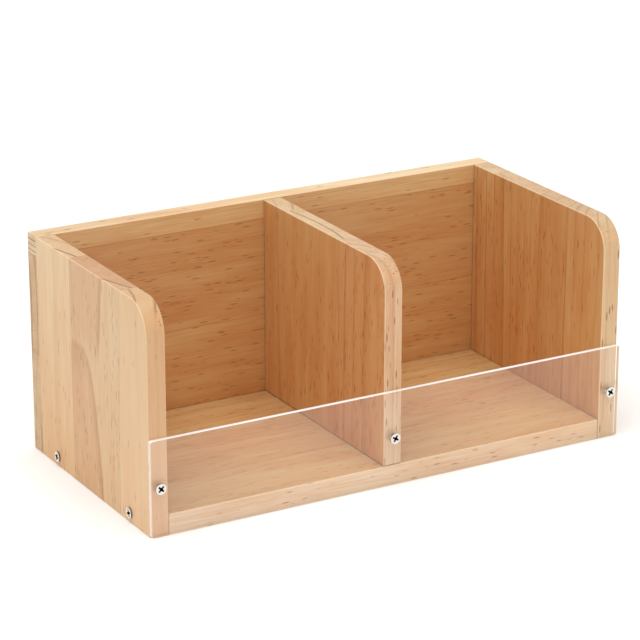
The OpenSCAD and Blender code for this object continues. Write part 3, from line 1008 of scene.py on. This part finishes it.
def screw_head(tree, given, spot):
    """The head, with the painted-shade attribute: 0 on the top, 1 round the rim and a half under it."""
    level = add(tree, "ShaderNodeCombineXYZ", {0: spot[0], 1: spot[1]})
    from_axis = add(tree, "ShaderNodeVectorMath", {0: level}, operation="LENGTH").outputs["Value"]
    radius = add(tree, "ShaderNodeMath", {0: given["Head Diameter"], 1: 0.5}, operation="MULTIPLY")
    drum = add(tree, "GeometryNodeMeshCylinder",
               {"Vertices": HEAD_SIDES, "Side Segments": 2, "Fill Segments": LID_RINGS, "Radius": radius,
                "Depth": 2.0}, fill_type="TRIANGLE_FAN")
    over_neck = add(tree, "ShaderNodeMapRange", {0: spot[2], 1: -1.0, 2: 0.0})
    over_rim = add(tree, "ShaderNodeMapRange", {0: spot[2], 1: 0.0, 2: 1.0})
    low = add(tree, "ShaderNodeMix", {"Factor": over_neck, "A": given["Neck Height"], "B": given["Rim Foot"]})
    wall = add(tree, "ShaderNodeMix", {"Factor": over_rim, "A": low, "B": given["Rim Top"]})
    share = add(tree, "ShaderNodeMath", {0: from_axis, 1: radius}, operation="DIVIDE")
    squared = add(tree, "ShaderNodeMath", {0: share, 1: share}, operation="MULTIPLY")
    left = add(tree, "ShaderNodeMath", {0: 1.0, 1: squared}, operation="SUBTRACT", use_clamp=True)
    rounded = add(tree, "ShaderNodeMath", {0: left, 1: CROWN_POWER}, operation="POWER")
    crown = add(tree, "ShaderNodeMath", {0: rounded, 1: given["Crown"]}, operation="MULTIPLY")
    on_lid = add(tree, "ShaderNodeMath", {0: spot[2], 1: 0.5}, operation="GREATER_THAN")
    dome = add(tree, "ShaderNodeMath", {0: crown, 1: on_lid, 2: wall}, operation="MULTIPLY_ADD")
    neck = add(tree, "ShaderNodeMath", {0: given["Neck Diameter"], 1: given["Head Diameter"]},
               operation="DIVIDE")
    spread = add(tree, "ShaderNodeMix", {"Factor": over_neck, "A": neck, "B": 1.0})
    x = add(tree, "ShaderNodeMath", {0: spot[0], 1: spread}, operation="MULTIPLY")
    y = add(tree, "ShaderNodeMath", {0: spot[1], 1: spread}, operation="MULTIPLY")
    formed = add(tree, "ShaderNodeCombineXYZ", {0: x, 1: y, 2: dome})
    # Painted shade: full on the rim's wall, half on the cone and the foot under it, none on the top
    off_lid = add(tree, "ShaderNodeMath", {0: spot[2], 1: 0.75}, operation="LESS_THAN")
    under_rim = add(tree, "ShaderNodeMath", {0: spot[2], 1: 0.0}, operation="LESS_THAN")
    under = add(tree, "ShaderNodeMath", {0: under_rim, 1: -0.5, 2: off_lid}, operation="MULTIPLY_ADD")
    known = add(tree, "GeometryNodeStoreNamedAttribute", {"Geometry": drum, "Name": "bare", "Value": under},
                data_type="FLOAT", domain="FACE")
    return add(tree, "GeometryNodeSetPosition", {"Geometry": known, "Position": formed})


rim_height = SCREW_INPUTS["Rim Top"] - SCREW_INPUTS["Rim Foot"]
print("the rim of a head is", round(rim_height / MM, 2), "mm high")

# %% [markdown]
# A shank is a tube whose radius rises to the thread once in each turn. Where a point lies in its turn comes
# from its height less the share of a turn that its own angle stands for, so the ridge winds upwards as it
# goes round. Near the head the thread fades into a plain neck, and at the other end the radius into a point.

# %% A screw's shank
SHANK_SIDES = 24
RINGS_A_TURN = 8.0
# Half the width of the ridge, as a share of the pitch
RIDGE_HALF = 0.3
# Heights, which are 0 on top of the head
NECK_FOOT = -2 * MM
THREAD_FULL = -3 * MM
# The point's end, as a share of the radius above it
POINT_SHARE = 0.14


def screw_shank(tree, given, spot):
    """The shank, from inside the head to the point."""
    turns = add(tree, "ShaderNodeMath", {0: given["Length"], 1: given["Pitch"]}, operation="DIVIDE")
    rings = add(tree, "ShaderNodeMath", {0: turns, 1: RINGS_A_TURN}, operation="MULTIPLY")
    tube = add(tree, "GeometryNodeMeshCylinder", {"Vertices": SHANK_SIDES, "Side Segments": rings,
                                                  "Radius": 1.0, "Depth": 1.0}, fill_type="TRIANGLE_FAN")
    height = add(tree, "ShaderNodeMath", {0: spot[2], 1: 0.5}, operation="ADD")
    full = add(tree, "ShaderNodeMath", {0: given["Length"], 1: given["Shank Top"]}, operation="ADD")
    risen = add(tree, "ShaderNodeMath", {0: height, 1: full}, operation="MULTIPLY")
    z = add(tree, "ShaderNodeMath", {0: risen, 1: given["Length"]}, operation="SUBTRACT")
    angle = add(tree, "ShaderNodeMath", {0: spot[1], 1: spot[0]}, operation="ARCTAN2")
    part = add(tree, "ShaderNodeMath", {0: angle, 1: radians(360)}, operation="DIVIDE")
    climbed = add(tree, "ShaderNodeMath", {0: z, 1: given["Pitch"]}, operation="DIVIDE")
    winding = add(tree, "ShaderNodeMath", {0: climbed, 1: part}, operation="SUBTRACT")
    phase = add(tree, "ShaderNodeMath", {0: winding}, operation="FRACT")
    centred = add(tree, "ShaderNodeMath", {0: phase, 1: 0.5}, operation="SUBTRACT")
    slope = add(tree, "ShaderNodeMath", {0: centred}, operation="ABSOLUTE")
    ridge = add(tree, "ShaderNodeMapRange", {0: slope, 1: 0.0, 2: RIDGE_HALF, 3: 1.0, 4: 0.0})
    threaded = add(tree, "ShaderNodeMapRange", {0: z, 1: THREAD_FULL, 2: NECK_FOOT, 3: 1.0, 4: 0.0})
    thread = add(tree, "ShaderNodeMath", {0: ridge, 1: threaded}, operation="MULTIPLY")
    wide = add(tree, "ShaderNodeMix", {"Factor": thread, "A": given["Core Diameter"],
                                       "B": given["Thread Diameter"]})
    above_tip = add(tree, "ShaderNodeMath", {0: z, 1: given["Length"]}, operation="ADD")
    tip = add(tree, "ShaderNodeMath", {0: above_tip, 1: given["Tip Length"]}, operation="DIVIDE",
              use_clamp=True)
    taper = add(tree, "ShaderNodeMapRange", {0: tip, 3: POINT_SHARE, 4: 1.0})
    diameter = add(tree, "ShaderNodeMath", {0: wide, 1: taper}, operation="MULTIPLY")
    shank_r = add(tree, "ShaderNodeMath", {0: diameter, 1: 0.5}, operation="MULTIPLY")
    shank_x = add(tree, "ShaderNodeMath", {0: spot[0], 1: shank_r}, operation="MULTIPLY")
    shank_y = add(tree, "ShaderNodeMath", {0: spot[1], 1: shank_r}, operation="MULTIPLY")
    wound = add(tree, "ShaderNodeCombineXYZ", {0: shank_x, 1: shank_y, 2: z})
    return add(tree, "GeometryNodeSetPosition", {"Geometry": tube, "Position": wound})


print("the thread starts", round(-NECK_FOOT / MM, 1), "mm under the top of the head")

# %% [markdown]
# A cross recess is pressed into the head by a punch. The punch here is two blocks across each other and a
# post, drawn in towards the bottom. It reaches clear of the crown, because a cutter that ends on the surface
# that it cuts leaves scraps.

# %% A screw's recess
PUNCH_TOP = 0.2 * MM
POST_SIDES = 24


def recess_punch(tree, given, spot):
    """The tool that sinks the recess. All its faces are marked for painted shade, and the recess takes that
    over.
    """
    bottom = add(tree, "ShaderNodeMath", {0: 0.0, 1: given["Recess Depth"]}, operation="SUBTRACT")
    high_up = add(tree, "ShaderNodeMath", {0: spot[2], 1: 0.0}, operation="GREATER_THAN")
    cut_z = add(tree, "ShaderNodeMix", {"Factor": high_up, "A": bottom, "B": PUNCH_TOP})
    reach = add(tree, "ShaderNodeMix", {"Factor": high_up, "A": given["Recess Floor"],
                                        "B": given["Recess Span"]})
    wing_x = add(tree, "ShaderNodeMath", {0: spot[0], 1: reach}, operation="MULTIPLY")
    wing_y = add(tree, "ShaderNodeMath", {0: spot[1], 1: given["Recess Wing"]}, operation="MULTIPLY")
    sunk = add(tree, "ShaderNodeCombineXYZ", {0: wing_x, 1: wing_y, 2: cut_z})
    block = add(tree, "GeometryNodeMeshCube", {"Size": (1.0, 1.0, 1.0)})
    wing = add(tree, "GeometryNodeSetPosition", {"Geometry": block, "Position": sunk})
    across = add(tree, "GeometryNodeTransform", {"Geometry": wing, "Rotation": (0, 0, radians(90))})
    girth = add(tree, "ShaderNodeMix", {"Factor": high_up, "A": given["Recess Floor"],
                                        "B": given["Recess Hub"]})
    hub_x = add(tree, "ShaderNodeMath", {0: spot[0], 1: girth}, operation="MULTIPLY")
    hub_y = add(tree, "ShaderNodeMath", {0: spot[1], 1: girth}, operation="MULTIPLY")
    bored = add(tree, "ShaderNodeCombineXYZ", {0: hub_x, 1: hub_y, 2: cut_z})
    post = add(tree, "GeometryNodeMeshCylinder", {"Vertices": POST_SIDES, "Radius": 0.5, "Depth": 1.0})
    hub = add(tree, "GeometryNodeSetPosition", {"Geometry": post, "Position": bored})
    cross = add(tree, "GeometryNodeMeshBoolean", {1: [wing, across, hub]}, operation="UNION",
                solver="MANIFOLD")
    return add(tree, "GeometryNodeStoreNamedAttribute", {"Geometry": cross, "Name": "bare", "Value": 1.0},
               data_type="FLOAT", domain="FACE")


print("the recess goes", round(SCREW_INPUTS["Recess Depth"] / MM, 1), "mm deep")

# %% [markdown]
# The tree joins head and shank, sinks the recess and sets the screw on every point. A join by a boolean
# leaves one closed skin, as the real screw has, where two shapes pushed into each other would not. Each size
# is an input of the tree, so one tree serves for both lengths.

# %% The tree of one screw and its copies
# Edges that fold more than this stay sharp
SHARP_EDGE = radians(38)


def screw_tree():
    """Models a screw from the sizes in SCREW_INPUTS and sets a copy on each point."""
    tree = bpy.data.node_groups.new("wood_screws", "GeometryNodeTree")
    tree.is_modifier = True
    face = tree.interface
    face.new_socket("Geometry", in_out="INPUT", socket_type="NodeSocketGeometry")
    for name, size in SCREW_INPUTS.items():
        face.new_socket(name, in_out="INPUT", socket_type="NodeSocketFloat").default_value = size
    face.new_socket("Material", in_out="INPUT", socket_type="NodeSocketMaterial")
    face.new_socket("Geometry", in_out="OUTPUT", socket_type="NodeSocketGeometry")
    given = add(tree, "NodeGroupInput").outputs
    spot = add(tree, "ShaderNodeSeparateXYZ", {0: add(tree, "GeometryNodeInputPosition")}).outputs

    head = screw_head(tree, given, spot)
    shank = screw_shank(tree, given, spot)
    whole = add(tree, "GeometryNodeMeshBoolean", {1: [head, shank]}, operation="UNION", solver="MANIFOLD")
    punch = recess_punch(tree, given, spot)
    screw = add(tree, "GeometryNodeMeshBoolean", {0: whole, 1: punch}, operation="DIFFERENCE",
                solver="MANIFOLD")
    fold = add(tree, "GeometryNodeInputMeshEdgeAngle")
    soft_fold = add(tree, "ShaderNodeMath", {0: fold, 1: SHARP_EDGE}, operation="LESS_THAN")
    smooth = add(tree, "GeometryNodeSetShadeSmooth", {0: screw, 2: True}, domain="FACE")
    edged = add(tree, "GeometryNodeSetShadeSmooth", {0: smooth, 2: soft_fold}, domain="EDGE")

    # A copy on each point, along the point's own direction, turned about it
    out = add(tree, "GeometryNodeInputNamedAttribute", {"Name": "out"}, data_type="FLOAT_VECTOR")
    turn = add(tree, "GeometryNodeInputNamedAttribute", {"Name": "turn"}, data_type="FLOAT")
    aimed = add(tree, "FunctionNodeAlignRotationToVector", {"Vector": out}, axis="Z")
    twist = add(tree, "FunctionNodeAxisAngleToRotation", {"Axis": (0, 0, 1), "Angle": turn})
    turned = add(tree, "FunctionNodeRotateRotation", {0: aimed, 1: twist}, rotation_space="LOCAL")
    copies = add(tree, "GeometryNodeInstanceOnPoints", {"Points": given["Geometry"], "Instance": edged,
                                                        "Rotation": turned})
    real = add(tree, "GeometryNodeRealizeInstances", {0: copies})
    plated = add(tree, "GeometryNodeSetMaterial", {"Geometry": real, "Material": given["Material"]})
    add(tree, "NodeGroupOutput", {0: plated})
    return tree


screws = screw_tree()
print("the screw tree has", len(screws.nodes), "nodes")

# %% [markdown]
# The frame says where each screw goes. The heads of a set reach to the corners of the set's box, so a screw's
# axis lies half a head inside that box. The heads' turns are given one by one, for a joiner stops when a
# screw is tight and not when its cross is straight.

# %% Setting the screws
def set_screws(name, node, points, out, turns, length):
    """Puts a screw on each point, with its head towards out, in place of the frame's plain ones."""
    seats = bpy.data.meshes.new(name)
    seats.from_pydata(points, [], [])
    seats.attributes.new("out", "FLOAT_VECTOR", "POINT").data.foreach_set("vector", list(out) * len(points))
    seats.attributes.new("turn", "FLOAT", "POINT").data.foreach_set("value", [radians(t) for t in turns])
    sketch = bpy.data.objects.new(name + "_seats", seats)
    bpy.context.scene.collection.objects.link(sketch)
    modifier = sketch.modifiers.new("screws", "NODES")
    modifier.node_group = screws
    values = {**SCREW_INPUTS, "Length": length, "Material": plated_steel}
    for socket in screws.interface.items_tree:
        if socket.in_out == "INPUT" and socket.name in values:
            modifier[socket.identifier] = values[socket.name]
    mesh = plain_mesh(sketch, name)
    mesh.materials.clear()
    mesh.materials.append(plated_steel)
    bpy.data.objects.remove(sketch)
    piece = bpy.data.objects.new(name, mesh)
    bpy.context.scene.collection.objects.link(piece)
    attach(piece, "root")
    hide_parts(node)
    print(name, "has", len(points), "screws and", len(mesh.polygons), "faces")


def inner(node, k):
    """Where the axes of the outermost screws of a set lie along X, Y or Z."""
    low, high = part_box(node)
    return low[k] + head_r, high[k] - head_r


set_screws("screws_in_guard", "guard_screws", [(x, screw_low.y, z) for x, z in guard_screws],
           (0, -1, 0), (45, 60, 55), screw_high.y - screw_low.y)

for hand, sign, turns in (("left", -1, (20, 75)), ("right", 1, (50, 10))):
    node = hand + "_side_screws"
    low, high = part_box(node)
    top = low.x if sign < 0 else high.x
    set_screws("screws_in_" + hand + "_side", node, [(top, y, low.z + head_r) for y in inner(node, 1)],
               (sign, 0, 0), turns, high.x - low.x)

back_low, back_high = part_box("back_screws")
back_xs = inner("back_screws", 0)
set_screws("screws_in_back_panel", "back_screws",
           [(x, back_high.y, z) for x in (back_xs[0], 0, back_xs[1]) for z in inner("back_screws", 2)],
           (0, 1, 0), (5, 40, 70, 25, 60, 80), back_high.y - back_low.y)

foot_low, foot_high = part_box("divider_foot_screws")
set_screws("screws_in_divider_foot", "divider_foot_screws",
           [(0, y, foot_low.z) for y in inner("divider_foot_screws", 1)], (0, 0, -1), (15, 65),
           foot_high.z - foot_low.z)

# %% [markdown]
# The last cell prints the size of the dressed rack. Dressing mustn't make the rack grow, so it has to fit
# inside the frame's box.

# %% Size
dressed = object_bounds()
print("dressed, the rack measures", [round(1000 * s, 1) for s in dressed[1] - dressed[0]], "mm")
